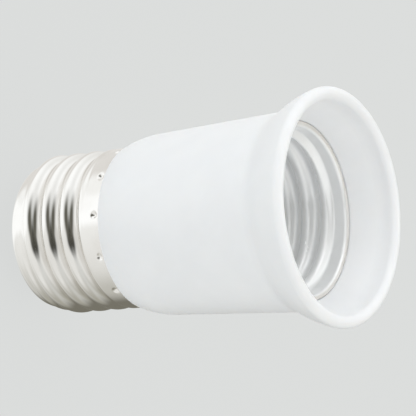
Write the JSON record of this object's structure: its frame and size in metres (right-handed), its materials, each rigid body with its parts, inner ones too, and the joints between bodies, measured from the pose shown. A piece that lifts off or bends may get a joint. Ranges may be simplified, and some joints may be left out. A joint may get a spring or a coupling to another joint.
{
  "type": "lamp socket extender",
  "caption": "Flared white screw-lamp socket extender: a threaded lampholder shell in its mouth, and a threaded screw cap with a tip contact crimped on its neck.",
  "frame": {"origin": "on the axis, at the plane where the cap's rim meets the housing's shoulder", "axes": "+Z along the axis, out of the socket's mouth; +X from the centre contact's rivet towards its free end"},
  "size_m": [0.0382, 0.0382, 0.0609],
  "materials": {
    "white_plastic": "smooth moulded",
    "plated_sheet": "nickel plated",
    "cap_sheet": "bright nickel plated",
    "contact_brass": "rolled",
    "tip_metal": "nickel plated",
    "solder": "dull",
    "tinned_wire": "tinned",
    "wire_sleeve": "extruded",
    "dark_insulator": "moulded"
  },
  "bodies": {
    "extender": {"housing": "white_plastic", "socket_shell": "plated_sheet", "contact_rivet": "contact_brass", "shell_rivet_wired": "plated_sheet", "shell_rivet_plain": "plated_sheet", "live_solder_tag": "contact_brass", "neutral_solder_tag": "contact_brass", "live_tag_solder": "solder", "neutral_tag_solder": "solder", "live_wire_core": "tinned_wire", "live_wire_insulation": "wire_sleeve", "neutral_wire_core": "tinned_wire", "neutral_wire_insulation": "wire_sleeve", "cap_shell": "cap_sheet", "cap_insulator": "dark_insulator", "tip_contact": "tip_metal", "tip_solder": "solder"},
    "centre_contact": {"contact_spring": "contact_brass"}
  },
  "joints": [
    {"name": "contact_flex", "type": "hinge", "parent": "extender", "child": "centre_contact", "pos_m": [-0.0044, 0, 0.0071], "axis": [0, 1, 0], "range_deg": [0, 16], "stiffness_Nm_per_rad": 0.07, "deforming": ["contact_spring"]}
  ]
}
